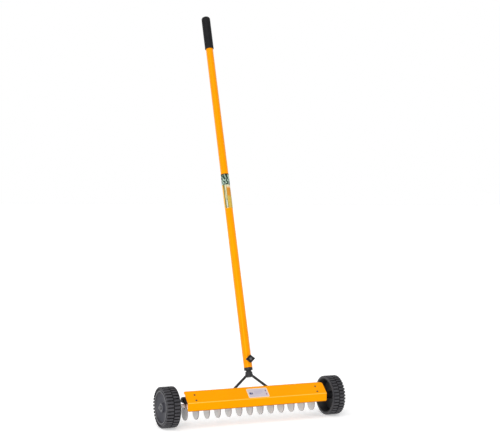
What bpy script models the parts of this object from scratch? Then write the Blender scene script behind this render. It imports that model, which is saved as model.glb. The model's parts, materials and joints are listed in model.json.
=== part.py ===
"""Two-wheeled magnetic nail sweeper with a long pole handle.

A row of thirteen magnet paddles hangs on the axle behind a bent steel cover.
A frame bar above the axle carries the cover, the axle and the tilting yoke.
Metres, +Z up, +X along the axle, -Y to the front.  The wheels stand on Z = 0,
and the origin is below the middle of the whole sweeper, pole included.
"""

import math

import bmesh
import bpy
from mathutils import Vector

# ---------------------------------------------------------------- driving dimensions
GAP = 0.0003                    # between pieces that touch

WHEEL_RADIUS = 0.080            # over the flat of a tread lug
WHEEL_WIDTH = 0.057
WHEEL_X = 0.3625                # middle of each wheel
LUG_COUNT = 36
LUG_HEIGHT = 0.0035
LUG_TAPER = 0.0008
DISH_RADIUS = 0.061
HUB_RADIUS = 0.018
HUB_HALF = 0.026                # half the length of the hub

AXLE_RADIUS = 0.005
AXLE_HALF = 0.392
BORE_RADIUS = AXLE_RADIUS + GAP
SLEEVE_RADIUS = 0.008

COVER_LENGTH = 0.610
COVER_SHEET = 0.002
LIP_BOTTOM = Vector((-0.0720, 0.0702))     # cover's outer outline, as (y, z)
LIP_TOP = Vector((-0.0725, 0.1030))
RIDGE = Vector((-0.0280, 0.1430))
RETURN_EDGE = Vector((-0.0204, 0.1337))
FOLD_RADIUS = 0.003
LIP_CORNER = 0.006
RIDGE_CORNER = 0.010

BAR_HALF = 0.291
BAR_BOTTOM = 0.0912
BAR_TOP = 0.1140
BAR_HALF_WIDTH = 0.021
BAR_WALL = 0.0025
PLUG_LENGTH = 0.010

BRACKET_X = 0.2605              # middle of each end bracket's web
BRACKET_SHEET = 0.003
EAR_RADIUS = 0.014
FLANGE_WIDTH = 0.016
FLANGE_START = 0.005            # distances up the slope from the lip fold
FLANGE_END = 0.047
SCREW_STATIONS = (0.0115, 0.0378)
SCREW_X = 0.266
SCREW_SHANK = 0.002
SCREW_HEAD = 0.0042
LABEL_X = 0.003                 # middle of the cover's label
LABEL_STATION = 0.0265

PADDLE_COUNT = 13
PADDLE_PITCH = 0.0467
PADDLE_SHIFT = -0.008           # the plates sit at the left end of their hubs
PADDLE_SHEET = 0.005
PADDLE_HUB_LENGTH = 0.010
PADDLE_HUB_RADIUS = 0.009
EYE_RADIUS = 0.0105
LOBE_RADIUS = 0.030
LOBE_DROP = 0.0277              # from the axle to the middle of the round end

PIVOT_Y = 0.0060                # axis of the pins at the feet of the yoke's arms
PIVOT_Z = 0.1260
POLE_LEAN = math.radians(17.94)
ARM_CORNER_X = 0.0800           # where an arm would meet the pins' axis, if it weren't bent
ARM_BEND = 0.008
ARM_RADIUS = 0.0052
PIN_END_X = 0.0980
LUG_X = 0.0915                  # middle of each pivot lug
LUG_SHEET = 0.003
LUG_HALF_DEPTH = 0.009
LUG_BASE_LENGTH = 0.014
PIN_CAP_RADIUS = 0.0082

# distances along the pole from the pivot
HUB_BOTTOM = 0.0488
HUB_TOP = 0.0700
COLLAR_BOTTOM = 0.0765
COLLAR_TOP = 0.0865
SPIGOT_TOP = 0.1550
POLE_TOP = 1.6090
GRIP_BOTTOM = 1.4760
GRIP_TOP = 1.6260
LABEL_BOTTOM = 0.756
LABEL_TOP = 0.906
KNOB_STATION = 0.118

SOCKET_RADIUS = 0.016
COLLAR_RADIUS = 0.0173
SPIGOT_RADIUS = 0.0155
POLE_FOOT_RADIUS = 0.0175
POLE_HEAD_RADIUS = 0.0153
POLE_WALL = 0.0016
GRIP_RADIUS = 0.0188
LABEL_SHEET = 0.0003

KNOB_HALF_WIDTH = 0.0200        # half diagonals of the diamond head
KNOB_HALF_HEIGHT = 0.0165
KNOB_DEPTH = 0.010
KNOB_FACE = 0.036               # from the pole's axis to the knob's face
KNOB_STEM_RADIUS = 0.007
STUD_RADIUS = 0.004

GRIP_ROUND = 0.012              # radius of the grip's rounded end
GRIP_REAR_Y = (
    PIVOT_Y + (GRIP_TOP - GRIP_ROUND) * math.sin(POLE_LEAN)
    + (GRIP_RADIUS - GRIP_ROUND) * math.cos(POLE_LEAN) + GRIP_ROUND
)
AXLE_Y = (WHEEL_RADIUS - GRIP_REAR_Y) / 2   # every other Y here is taken from the axle

SLOPE_UP = (RIDGE - LIP_TOP).normalized()
SLOPE_ANGLE = math.atan2(SLOPE_UP.y, SLOPE_UP.x)
SLOPE_OUT = Vector((-SLOPE_UP.y, SLOPE_UP.x))
SLOPE_LENGTH = (RIDGE - LIP_TOP).length

ALONG_X = (0.0, math.pi / 2, 0.0)          # turns local Z to world +X
ALONG_MINUS_X = (0.0, -math.pi / 2, 0.0)
SIDE_PLANE = (math.pi / 2, 0.0, math.pi / 2)   # turns local XY to world YZ
FORWARD = (math.pi / 2, 0.0, 0.0)          # turns local Z to -Y

SIDES = (("left", -1), ("right", 1))


# ---------------------------------------------------------------- scene and materials
for old in list(bpy.data.objects):
    bpy.data.objects.remove(old)

parts = bpy.data.collections.new("magnetic_nail_sweeper")
cutters = bpy.data.collections.new("cutters")
bpy.context.scene.collection.children.link(parts)
bpy.context.scene.collection.children.link(cutters)

stand = bpy.data.objects.new("stand", None)     # on the floor, below the axle
stand.location = (0, AXLE_Y, 0)
parts.objects.link(stand)


def material(name, colour, roughness, metallic):
    made = bpy.data.materials.new(name)
    made.use_nodes = True
    shader = made.node_tree.nodes["Principled BSDF"]
    shader.inputs["Base Color"].default_value = (*colour, 1.0)
    shader.inputs["Roughness"].default_value = roughness
    shader.inputs["Metallic"].default_value = metallic
    return made


YELLOW = material("yellow_paint", (1.00, 0.39, 0.003), 0.35, 0.0)
BLACK_PAINT = material("black_paint", (0.035, 0.035, 0.037), 0.45, 0.0)
BLACK_PLASTIC = material("black_plastic", (0.022, 0.023, 0.024), 0.55, 0.0)
TYRE = material("wheel_plastic", (0.042, 0.044, 0.048), 0.60, 0.0)
ZINC = material("zinc_plate", (0.62, 0.62, 0.60), 0.35, 0.9)
NYLON = material("white_nylon", (0.80, 0.79, 0.76), 0.45, 0.0)
LABEL = material("cover_label", (0.62, 0.60, 0.66), 0.40, 0.0)
POLE_LABEL = material("pole_label", (0.05, 0.13, 0.10), 0.40, 0.0)


# ---------------------------------------------------------------- shape helpers
def place(obj, parent=None, location=(0, 0, 0), rotation=(0, 0, 0), collection=parts):
    collection.objects.link(obj)
    obj.parent = parent or stand
    obj.location = location
    obj.rotation_euler = rotation
    if collection is cutters:
        obj.hide_render = True
        obj.display_type = "WIRE"
    return obj


def axis_empty(name, location, rotation=(0, 0, 0), parent=None):
    """An empty on a joint's axis."""
    return place(bpy.data.objects.new(name, None), parent, location, rotation)


def mesh_object(name, bm, finish):
    mesh = bpy.data.meshes.new(name)
    bm.to_mesh(mesh)
    bm.free()
    mesh.shade_smooth()
    mesh.set_sharp_from_angle(angle=math.radians(35))
    obj = bpy.data.objects.new(name, mesh)
    mesh.materials.append(finish)
    return obj


def turned(name, profile, finish, steps=24, closed=False, sweep=2 * math.pi):
    """A profile of (radius, height) points, outer side downwards, turned about Z."""
    bm = bmesh.new()
    verts = [bm.verts.new((radius, 0, height)) for radius, height in profile]
    for start, end in zip(verts, verts[1:]):
        bm.edges.new((start, end))
    if closed:
        bm.edges.new((verts[-1], verts[0]))
    obj = mesh_object(name, bm, finish)
    screw = obj.modifiers.new("turn", "SCREW")
    screw.angle = sweep
    screw.steps = steps
    screw.render_steps = steps
    screw.use_merge_vertices = sweep == 2 * math.pi
    screw.merge_threshold = 0.00001
    return obj


def sleeve(name, outer, inner, length, finish, steps=12):
    """A plain tube from Z = 0 up."""
    profile = [(outer, length), (outer, 0), (inner, 0), (inner, length)]
    return turned(name, profile, finish, steps, closed=True)


def arc(centre, radius, start, end, count):
    """Points of an arc, with angles in degrees."""
    turns = [math.radians(start + (end - start) * i / count) for i in range(count + 1)]
    return [(centre[0] + radius * math.cos(a), centre[1] + radius * math.sin(a)) for a in turns]


def rounded_rectangle(width, height, radius, count=4):
    x, y = width / 2 - radius, height / 2 - radius
    corners = ((x, y, 0), (-x, y, 90), (-x, -y, 180), (x, -y, 270))
    return [p for cx, cy, a in corners for p in arc((cx, cy), radius, a, a + 90, count)]


def plate(name, loops, thickness, finish):
    """A flat outline with holes, centred on local Z = 0."""
    curve = bpy.data.curves.new(name, "CURVE")
    curve.dimensions = "2D"
    curve.fill_mode = "BOTH"
    curve.extrude = thickness / 2
    for loop in loops:
        spline = curve.splines.new("POLY")
        spline.points.add(len(loop) - 1)
        for point, (x, y) in zip(spline.points, loop):
            point.co = (x, y, 0, 1)
        spline.use_cyclic_u = True
    curve.materials.append(finish)
    return bpy.data.objects.new(name, curve)


def as_mesh(obj, finish):
    """Turns a placed curve into a welded mesh object of the same name and place."""
    name, parent, matrix = obj.name, obj.parent, obj.matrix_basis.copy()
    collection = obj.users_collection[0]
    bpy.context.view_layer.update()
    depsgraph = bpy.context.evaluated_depsgraph_get()
    bm = bmesh.new()
    shape = bpy.data.meshes.new_from_object(obj.evaluated_get(depsgraph))
    bm.from_mesh(shape)
    bmesh.ops.remove_doubles(bm, verts=bm.verts, dist=0.00001)
    bmesh.ops.recalc_face_normals(bm, faces=bm.faces)
    bpy.data.objects.remove(obj)
    bpy.data.meshes.remove(shape)
    solid = mesh_object(name, bm, finish)
    place(solid, parent, collection=collection)
    solid.matrix_basis = matrix
    return solid


def box(name, low, high, finish):
    """A box between two corners, its scale already in the mesh."""
    bm = bmesh.new()
    bmesh.ops.create_cube(bm, size=1.0)
    size = Vector(high) - Vector(low)
    middle = (Vector(high) + Vector(low)) / 2
    bmesh.ops.scale(bm, vec=size, verts=bm.verts)
    bmesh.ops.translate(bm, vec=middle, verts=bm.verts)
    return mesh_object(name, bm, finish)


def rod(name, radius, low, high, finish, sides=24):
    """A solid cylinder or prism on local Z, between two heights."""
    bm = bmesh.new()
    bmesh.ops.create_cone(
        bm, cap_ends=True, segments=sides, radius1=radius, radius2=radius, depth=high - low
    )
    bmesh.ops.translate(bm, vec=(0, 0, (low + high) / 2), verts=bm.verts)
    return mesh_object(name, bm, finish)


def combine(target, tool, operation):
    """Adds a Boolean with a tool object that lies in the cutters' collection."""
    boolean = target.modifiers.new(operation.lower(), "BOOLEAN")
    boolean.operation = operation
    boolean.object = tool
    boolean.solver = "EXACT"


def cut(target, tool):
    combine(target, tool, "DIFFERENCE")


def add(target, tool):
    combine(target, tool, "UNION")


def soften(obj, width, segments=2):
    bevel = obj.modifiers.new("edges", "BEVEL")
    bevel.width = width
    bevel.segments = segments
    bevel.limit_method = "ANGLE"
    bevel.angle_limit = math.radians(50)


# ---------------------------------------------------------------- cover
def slope_point(distance, offset=0.0):
    """A point (y, z) up the slope from the lip fold, and offset outwards from its face."""
    return LIP_TOP + SLOPE_UP * distance + SLOPE_OUT * offset


def slope_place(x, distance, offset):
    y, z = slope_point(distance, offset)
    return {"location": (x, y, z), "rotation": (SLOPE_ANGLE, 0, 0)}


def corner_outline(sign):
    """What a rounded corner takes away from a square one at (0, 0); the plate lies inwards."""
    r, spare = RIDGE_CORNER, 0.004
    curve = [(sign * x, y) for x, y in arc((-r, -r), r, 0, 90, 6)]
    return curve + [(-sign * r, spare), (sign * spare, spare), (sign * spare, -r)]


def build_cover():
    """A bent sheet: front lip, sloping face and a stiffening return behind the ridge."""
    bm = bmesh.new()
    outline = (LIP_BOTTOM, LIP_TOP, RIDGE, RETURN_EDGE)
    verts = [bm.verts.new((-COVER_LENGTH / 2, y, z)) for y, z in outline]
    edges = [bm.edges.new(pair) for pair in zip(verts, verts[1:])]
    grown = bmesh.ops.extrude_edge_only(bm, edges=edges)["geom"]
    moved = [item for item in grown if isinstance(item, bmesh.types.BMVert)]
    bmesh.ops.translate(bm, vec=(COVER_LENGTH, 0, 0), verts=moved)
    bmesh.ops.recalc_face_normals(bm, faces=bm.faces)
    if sum((face.normal.y for face in bm.faces)) > 0:
        bmesh.ops.reverse_faces(bm, faces=bm.faces)
    corners = [v for v in bm.verts if abs(v.co.z - LIP_BOTTOM.y) < GAP]
    bmesh.ops.bevel(bm, geom=corners, offset=LIP_CORNER, segments=4, profile=0.5, affect="VERTICES")
    folds = [e for e in bm.edges if len(e.link_faces) == 2]
    bmesh.ops.bevel(bm, geom=folds, offset=FOLD_RADIUS, segments=2, profile=0.5, affect="EDGES")
    cover = place(mesh_object("cover_plate", bm, YELLOW))
    sheet = cover.modifiers.new("sheet", "SOLIDIFY")
    sheet.thickness = COVER_SHEET
    sheet.offset = -1.0
    sheet.use_even_offset = True
    for side, sign in SIDES:
        for number, station in enumerate(SCREW_STATIONS):
            hole = rod(f"hole_{side}_{number}", SCREW_SHANK + GAP, -0.006, 0.004, YELLOW, 12)
            place(hole, collection=cutters, **slope_place(sign * SCREW_X, station, 0))
            cut(cover, hole)
            profile = [
                (0, 0.0022), (0.0022, 0.0020), (0.0036, 0.0012), (SCREW_HEAD, GAP),
                (SCREW_SHANK, GAP), (SCREW_SHANK, -0.0085), (0, -0.0090),
            ]
            name = f"cover_screw_{side}_{('lower', 'upper')[number]}"
            place(turned(name, profile, ZINC, 12), **slope_place(sign * SCREW_X, station, 0))
        rounding = plate(f"ridge_rounding_{side}", [corner_outline(sign)], 0.040, YELLOW)
        place(rounding, collection=cutters, **slope_place(sign * COVER_LENGTH / 2, SLOPE_LENGTH, 0))
        cut(cover, as_mesh(rounding, YELLOW))
    label = plate("cover_label", [rounded_rectangle(0.090, 0.045, 0.005)], LABEL_SHEET, LABEL)
    place(label, **slope_place(LABEL_X, LABEL_STATION, GAP + LABEL_SHEET / 2))


# ---------------------------------------------------------------- frame bar and brackets
def bar_outline(inset):
    """The frame bar's section: flat below, arched sides and a narrow flat top."""
    half, low, high = BAR_HALF_WIDTH - inset, BAR_BOTTOM + inset, BAR_TOP - inset
    rise = high - low - 0.007
    arch = [
        (half - (half - 0.008) * (1 - math.cos(a)), high - rise * (1 - math.sin(a)))
        for a in (math.pi / 2 * i / 6 for i in range(7))
    ]
    return [(half, low)] + arch + [(-y, z) for y, z in reversed(arch)] + [(-half, low)]


def plug_shape(sign):
    """A domed plug: the bar's section, drawn in towards its outer end."""
    middle = (BAR_BOTTOM + BAR_TOP) / 2
    bm = bmesh.new()
    rings = []
    for out, scale in ((0, 1.0), (0.3, 1.0), (0.6, 0.93), (0.85, 0.76), (1.0, 0.45)):
        x = sign * out * PLUG_LENGTH
        section = [(x, y * scale, middle + (z - middle) * scale) for y, z in bar_outline(0)]
        rings.append([bm.verts.new(point) for point in section])
    for low, high in zip(rings, rings[1:]):
        for i in range(len(low)):
            j = (i + 1) % len(low)
            bm.faces.new((low[i], low[j], high[j], high[i]))
    bm.faces.new(rings[0])
    bm.faces.new(rings[-1])
    bmesh.ops.recalc_face_normals(bm, faces=bm.faces)
    return bm


def build_frame_bar():
    loops = [bar_outline(0), bar_outline(BAR_WALL)]
    place(plate("frame_bar", loops, 2 * BAR_HALF, BLACK_PAINT), rotation=SIDE_PLANE)
    for side, sign in SIDES:
        plug = mesh_object(f"bar_plug_{side}", plug_shape(sign), BLACK_PLASTIC)
        place(plug, location=(sign * (BAR_HALF + GAP), 0, 0))


def bracket_outline():
    """The web: an ear round the axle, and an arm to the underside of the slope."""
    ear = arc((0, WHEEL_RADIUS), EAR_RADIUS, 0, -180, 10)
    below_bar = BAR_BOTTOM - GAP
    beside_bar = -BAR_HALF_WIDTH - 0.002
    middle_of_flange = -COVER_SHEET - GAP - BRACKET_SHEET / 2
    lower = slope_point(FLANGE_START, middle_of_flange)
    upper = slope_point(FLANGE_END, middle_of_flange)
    rest = [tuple(lower), tuple(upper), (beside_bar, BAR_TOP), (beside_bar, below_bar)]
    return ear + rest + [(EAR_RADIUS, below_bar)]


def build_end_bracket(side, sign):
    hole = arc((0, WHEEL_RADIUS), BORE_RADIUS, 0, 337.5, 15)
    loops = [bracket_outline(), hole]
    web = plate(f"end_bracket_{side}", loops, BRACKET_SHEET, BLACK_PAINT)
    place(web, location=(sign * BRACKET_X, 0, 0), rotation=SIDE_PLANE)
    web = as_mesh(web, BLACK_PAINT)
    inner = sign * (BRACKET_X - BRACKET_SHEET / 2)
    x = inner + sign * FLANGE_WIDTH / 2
    length = FLANGE_END - FLANGE_START
    outline = [(-FLANGE_WIDTH / 2, 0), (FLANGE_WIDTH / 2, 0)]
    outline += [(FLANGE_WIDTH / 2, length), (-FLANGE_WIDTH / 2, length)]
    holes = [
        arc((sign * SCREW_X - x, station - FLANGE_START), SCREW_SHANK + GAP, 0, 330, 11)
        for station in SCREW_STATIONS
    ]
    flange = plate(f"flange_{side}", [outline] + holes, BRACKET_SHEET, BLACK_PAINT)
    depth = -COVER_SHEET - GAP - BRACKET_SHEET / 2
    place(flange, collection=cutters, **slope_place(x, FLANGE_START, depth))
    add(web, as_mesh(flange, BLACK_PAINT))


def build_pivot_lug(side, sign):
    """A bent lug on the frame bar: a base, and one round-topped ear round the arm's pin."""
    base_low = BAR_TOP + GAP
    inner, outer = LUG_X + LUG_SHEET / 2 - LUG_BASE_LENGTH, LUG_X + LUG_SHEET / 2
    near, far = sorted((sign * inner, sign * outer))
    low = (near, PIVOT_Y - LUG_HALF_DEPTH, base_low)
    high = (far, PIVOT_Y + LUG_HALF_DEPTH, base_low + LUG_SHEET)
    lug = place(box(f"pivot_lug_{side}", low, high, BLACK_PAINT))
    outline = arc((PIVOT_Y, PIVOT_Z), LUG_HALF_DEPTH, 0, 180, 10)
    outline += [(PIVOT_Y - LUG_HALF_DEPTH, base_low), (PIVOT_Y + LUG_HALF_DEPTH, base_low)]
    hole = arc((PIVOT_Y, PIVOT_Z), ARM_RADIUS + GAP, 0, 337.5, 15)
    ear = plate(f"lug_ear_{side}", [outline, hole], LUG_SHEET, BLACK_PAINT)
    place(ear, location=(sign * LUG_X, 0, 0), rotation=SIDE_PLANE, collection=cutters)
    add(lug, as_mesh(ear, BLACK_PAINT))


def build_pin_cap(side, sign, yoke):
    """A pressed cap on the end of the arm's pin, outside the lug."""
    start = LUG_X + LUG_SHEET / 2 + GAP
    depth = PIN_END_X + GAP - start
    height = depth + 0.002
    profile = [
        (0, height), (PIN_CAP_RADIUS - 0.002, height), (PIN_CAP_RADIUS, height - 0.002),
        (PIN_CAP_RADIUS, 0), (ARM_RADIUS + GAP, 0), (ARM_RADIUS + GAP, depth), (0, depth),
    ]
    turn = ALONG_X if sign > 0 else ALONG_MINUS_X
    place(turned(f"pin_cap_{side}", profile, ZINC, 16), yoke, (sign * start, 0, 0), turn)


# ---------------------------------------------------------------- axle, wheels, paddles
def build_axle():
    chamfer = 0.001
    profile = [
        (0, AXLE_HALF), (AXLE_RADIUS - chamfer, AXLE_HALF), (AXLE_RADIUS, AXLE_HALF - chamfer),
        (AXLE_RADIUS, chamfer - AXLE_HALF), (AXLE_RADIUS - chamfer, -AXLE_HALF), (0, -AXLE_HALF),
    ]
    place(turned("axle", profile, ZINC), location=(0, 0, WHEEL_RADIUS), rotation=ALONG_X)


def wheel_profile(base):
    """The wheel's section without its lugs, as (radius, distance outwards)."""
    half = WHEEL_WIDTH / 2
    bore = SLEEVE_RADIUS + GAP
    outer = [
        (bore, HUB_HALF), (HUB_RADIUS, HUB_HALF), (HUB_RADIUS + 0.001, 0.015),
        (DISH_RADIUS - 0.004, 0.017), (DISH_RADIUS, half - 0.0015), (base - 0.002, half),
        (base, half - 0.0015),
    ]
    groove = [(base, 0.002), (base, -0.002)]
    inner = [(radius, -distance) for radius, distance in reversed(outer)]
    return outer + groove + inner


def wheel_shape():
    """A dished wheel with two rows of lugs, each row half a pitch round from the other."""
    sectors = 2 * LUG_COUNT
    half_sector = math.pi / sectors
    base = (WHEEL_RADIUS - LUG_HEIGHT) / math.cos(half_sector)
    bm = bmesh.new()
    across = math.cos(-half_sector), math.sin(-half_sector)
    ring = [bm.verts.new((r * across[0], r * across[1], z)) for r, z in wheel_profile(base)]
    edges = [bm.edges.new((a, b)) for a, b in zip(ring, ring[1:] + ring[:1])]
    bmesh.ops.spin(
        bm, geom=ring + edges, cent=(0, 0, 0), axis=(0, 0, 1),
        angle=2 * math.pi, steps=sectors, use_merge=True,
    )
    bmesh.ops.remove_doubles(bm, verts=bm.verts, dist=0.00001)
    bmesh.ops.recalc_face_normals(bm, faces=bm.faces)
    lugs = []
    for face in bm.faces:
        middle = face.calc_center_median()
        on_tread = math.hypot(middle.x, middle.y) > base - 0.001 and abs(middle.z) > 0.003
        sector = round(math.atan2(middle.y, middle.x) / (2 * half_sector)) % sectors
        if on_tread and sector % 2 == (0 if middle.z > 0 else 1):
            lugs.append(face)
    bmesh.ops.inset_individual(bm, faces=lugs, thickness=LUG_TAPER, depth=LUG_HEIGHT)
    return bm


def build_wheels():
    shared = None
    for side, sign in SIDES:
        name = f"wheel_{side}"
        hub = axis_empty(f"{name}_axis", (sign * WHEEL_X, 0, WHEEL_RADIUS))
        turn = ALONG_X if sign > 0 else ALONG_MINUS_X
        if shared is None:
            wheel = mesh_object(name, wheel_shape(), TYRE)
            shared = wheel.data
        else:
            wheel = bpy.data.objects.new(name, shared)
        place(wheel, hub, rotation=turn)
        flange, face = 0.011, WHEEL_WIDTH / 2
        profile = [
            (SLEEVE_RADIUS, HUB_HALF), (SLEEVE_RADIUS, -HUB_HALF - GAP), (flange, -HUB_HALF - GAP),
            (flange, -face), (BORE_RADIUS, -face), (BORE_RADIUS, HUB_HALF),
        ]
        place(turned(f"wheel_bush_{side}", profile, NYLON, 16, closed=True), hub, rotation=turn)
        inner, outer = WHEEL_X + HUB_HALF + GAP, AXLE_HALF + 0.0045
        height = outer - inner
        cap = [
            (0, height), (0.005, height - 0.0006), (0.0085, height - 0.003), (0.0095, 0.002),
            (0.0095, 0), (BORE_RADIUS, 0), (BORE_RADIUS, AXLE_HALF + GAP - inner),
            (0, AXLE_HALF + GAP - inner),
        ]
        place(
            turned(f"axle_cap_{side}", cap, BLACK_PLASTIC, 20),
            location=(sign * inner, 0, WHEEL_RADIUS), rotation=turn,
        )


def paddle_x(index):
    return (index - (PADDLE_COUNT - 1) / 2) * PADDLE_PITCH + PADDLE_SHIFT


def paddle_outline():
    """A small eye round the axle and a large round end, joined by their tangents."""
    turn = math.degrees(math.asin((LOBE_RADIUS - EYE_RADIUS) / LOBE_DROP))
    eye = arc((0, 0), EYE_RADIUS, turn, 180 - turn, 6)
    lobe = arc((0, -LOBE_DROP), LOBE_RADIUS, 180 - turn, 360 + turn, 20)
    return eye + lobe


def build_paddles():
    hole = arc((0, 0), BORE_RADIUS, 0, 330, 11)
    sheet = plate("magnet_paddle_01", [paddle_outline(), hole], PADDLE_SHEET, ZINC)
    place(sheet, rotation=SIDE_PLANE)
    sheet = as_mesh(sheet, ZINC)
    reach = PADDLE_SHEET / 2 + PADDLE_HUB_LENGTH
    hub = sleeve("paddle_hub", PADDLE_HUB_RADIUS, BORE_RADIUS, reach, ZINC)
    place(hub, sheet, collection=cutters)
    add(sheet, hub)
    bpy.context.view_layer.update()
    depsgraph = bpy.context.evaluated_depsgraph_get()
    shape = bpy.data.meshes.new_from_object(sheet.evaluated_get(depsgraph))
    bpy.data.objects.remove(sheet)
    for index in range(PADDLE_COUNT):
        number = f"{index + 1:02d}"
        axis = axis_empty(f"paddle_axis_{number}", (paddle_x(index), 0, WHEEL_RADIUS))
        paddle = bpy.data.objects.new(f"magnet_paddle_{number}", shape)
        place(paddle, axis, rotation=SIDE_PLANE)


def sleeve_spans():
    """The stretches of axle between the paddles, split where an end bracket stands."""
    half = BRACKET_SHEET / 2 + GAP
    spans = []
    for index in range(PADDLE_COUNT - 1):
        start = paddle_x(index) + PADDLE_SHEET / 2 + PADDLE_HUB_LENGTH + GAP
        end = paddle_x(index + 1) - PADDLE_SHEET / 2 - GAP
        webs = [x for x in (-BRACKET_X, BRACKET_X) if start < x < end]
        for x in webs:
            spans.append((start, x - half))
            start = x + half
        spans.append((start, end))
    return spans


def build_sleeves():
    for number, (start, end) in enumerate(sleeve_spans(), 1):
        piece = sleeve(f"paddle_sleeve_{number:02d}", SLEEVE_RADIUS, BORE_RADIUS, end - start, NYLON)
        place(piece, location=(start, 0, WHEEL_RADIUS), rotation=ALONG_X)
    outside = WHEEL_X - WHEEL_WIDTH / 2 - GAP
    first = paddle_x(0) - PADDLE_SHEET / 2 - GAP
    last = paddle_x(PADDLE_COUNT - 1) + PADDLE_SHEET / 2 + PADDLE_HUB_LENGTH + GAP
    for side, start, end in (("left", -outside, first), ("right", last, outside)):
        piece = sleeve(f"wheel_spacer_{side}", SLEEVE_RADIUS, BORE_RADIUS, end - start, NYLON)
        place(piece, location=(start, 0, WHEEL_RADIUS), rotation=ALONG_X)


# ---------------------------------------------------------------- yoke and handle
def arm_path():
    """An arm's middle line as (x, z): down and out from the socket, then out along the pin."""
    top = Vector((0.012, HUB_BOTTOM + 0.006))
    corner = Vector((ARM_CORNER_X, 0))
    start = corner + (top - corner).normalized() * ARM_BEND
    stop = corner + Vector((ARM_BEND, 0))
    bend = [
        start.lerp(corner, share).lerp(corner.lerp(stop, share), share)
        for share in (step / 6 for step in range(7))
    ]
    return [top] + bend + [Vector((PIN_END_X, 0))]


def build_yoke(yoke):
    """The turned socket and the two rods whose feet are the pivot pins."""
    profile = [
        (0, SPIGOT_TOP), (SPIGOT_RADIUS - 0.0015, SPIGOT_TOP), (SPIGOT_RADIUS, SPIGOT_TOP - 0.002),
        (SPIGOT_RADIUS, COLLAR_TOP), (COLLAR_RADIUS, COLLAR_TOP), (COLLAR_RADIUS, COLLAR_BOTTOM),
        (0.0105, COLLAR_BOTTOM - 0.001), (0.0105, HUB_TOP + 0.001), (0.0140, HUB_TOP - 0.001),
        (0.0148, HUB_TOP - 0.008), (SOCKET_RADIUS, HUB_BOTTOM + 0.008),
        (SOCKET_RADIUS, HUB_BOTTOM), (0, HUB_BOTTOM),
    ]
    place(turned("yoke_socket", profile, BLACK_PAINT), yoke)
    clearance = rod("socket_clearance", SOCKET_RADIUS + GAP, HUB_BOTTOM - GAP, HUB_TOP, BLACK_PAINT)
    place(clearance, yoke, collection=cutters)
    for side, sign in SIDES:
        curve = bpy.data.curves.new(f"yoke_arm_{side}", "CURVE")
        curve.dimensions = "3D"
        curve.bevel_depth = ARM_RADIUS
        curve.bevel_resolution = 4
        curve.use_fill_caps = True
        path = arm_path()
        spline = curve.splines.new("POLY")
        spline.points.add(len(path) - 1)
        for point, (x, z) in zip(spline.points, path):
            point.co = (sign * x, 0, z, 1)
        arm = place(bpy.data.objects.new(curve.name, curve), yoke)
        arm = as_mesh(arm, BLACK_PAINT)
        cut(arm, clearance)
        build_pin_cap(side, sign, yoke)


def pole_radius(station):
    share = (station - COLLAR_TOP) / (POLE_TOP - COLLAR_TOP)
    return POLE_FOOT_RADIUS + (POLE_HEAD_RADIUS - POLE_FOOT_RADIUS) * share


def build_handle(handle):
    """The pole's own axis empty lies at its foot; heights here are taken from there."""
    foot, head = GAP, POLE_TOP - COLLAR_TOP
    profile = [
        (POLE_HEAD_RADIUS, head), (POLE_FOOT_RADIUS, foot),
        (POLE_FOOT_RADIUS - POLE_WALL, foot), (POLE_HEAD_RADIUS - POLE_WALL, head),
    ]
    pole = place(turned("handle_pole", profile, YELLOW, closed=True), handle)
    hole = rod("stud_hole", STUD_RADIUS + GAP, 0, 2 * POLE_FOOT_RADIUS, YELLOW, 16)
    place(hole, handle, (0, 0, KNOB_STATION - COLLAR_TOP), FORWARD, cutters)
    cut(pole, hole)

    low, high = GRIP_BOTTOM - COLLAR_TOP, GRIP_TOP - COLLAR_TOP
    inside = pole_radius(GRIP_BOTTOM) + GAP
    dome = arc((GRIP_RADIUS - GRIP_ROUND, high - GRIP_ROUND), GRIP_ROUND, 90, 0, 5)
    grip = [(0, high)] + dome + [
        (GRIP_RADIUS, low + 0.001), (GRIP_RADIUS - 0.001, low), (inside, low),
        (inside, head + GAP), (0, head + GAP),
    ]
    place(turned("hand_grip", grip, BLACK_PLASTIC), handle)

    gap = GAP + LABEL_SHEET
    sheet = [
        (pole_radius(LABEL_TOP) + gap, LABEL_TOP - COLLAR_TOP),
        (pole_radius(LABEL_BOTTOM) + gap, LABEL_BOTTOM - COLLAR_TOP),
    ]
    wrap = math.radians(220)
    label = turned("handle_label", sheet, POLE_LABEL, 20, sweep=wrap)
    place(label, handle, rotation=(0, 0, -math.pi / 2 - wrap / 2))
    thick = label.modifiers.new("film", "SOLIDIFY")
    thick.thickness = LABEL_SHEET
    thick.offset = -1.0


def build_knob(knob):
    """A diamond head on a round stem; local Z points away from the pole."""
    low = KNOB_FACE - KNOB_DEPTH
    wide, high = KNOB_HALF_WIDTH, KNOB_HALF_HEIGHT
    diamond = [(wide, 0), (0, high), (-wide, 0), (0, -high)]
    head = plate("lock_knob", [diamond], KNOB_DEPTH, BLACK_PLASTIC)
    head = as_mesh(place(head, knob, (0, 0, KNOB_FACE - KNOB_DEPTH / 2)), BLACK_PLASTIC)
    soften(head, 0.0020, 2)
    stem = rod("knob_stem", KNOB_STEM_RADIUS, POLE_FOOT_RADIUS + 0.001, low + 0.002, BLACK_PLASTIC)
    place(stem, knob, collection=cutters)
    add(head, stem)
    bore = rod("knob_bore", STUD_RADIUS + GAP, 0, 0.06, BLACK_PLASTIC, 16)
    place(bore, knob, collection=cutters)
    cut(head, bore)
    face = KNOB_FACE + GAP
    profile = [
        (0, face + 0.0018), (0.0050, face + 0.0012), (0.0062, face), (STUD_RADIUS, face),
        (STUD_RADIUS, SPIGOT_RADIUS + 2 * GAP), (0, SPIGOT_RADIUS + GAP),
    ]
    place(turned("knob_stud", profile, ZINC, 16), knob)


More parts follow.
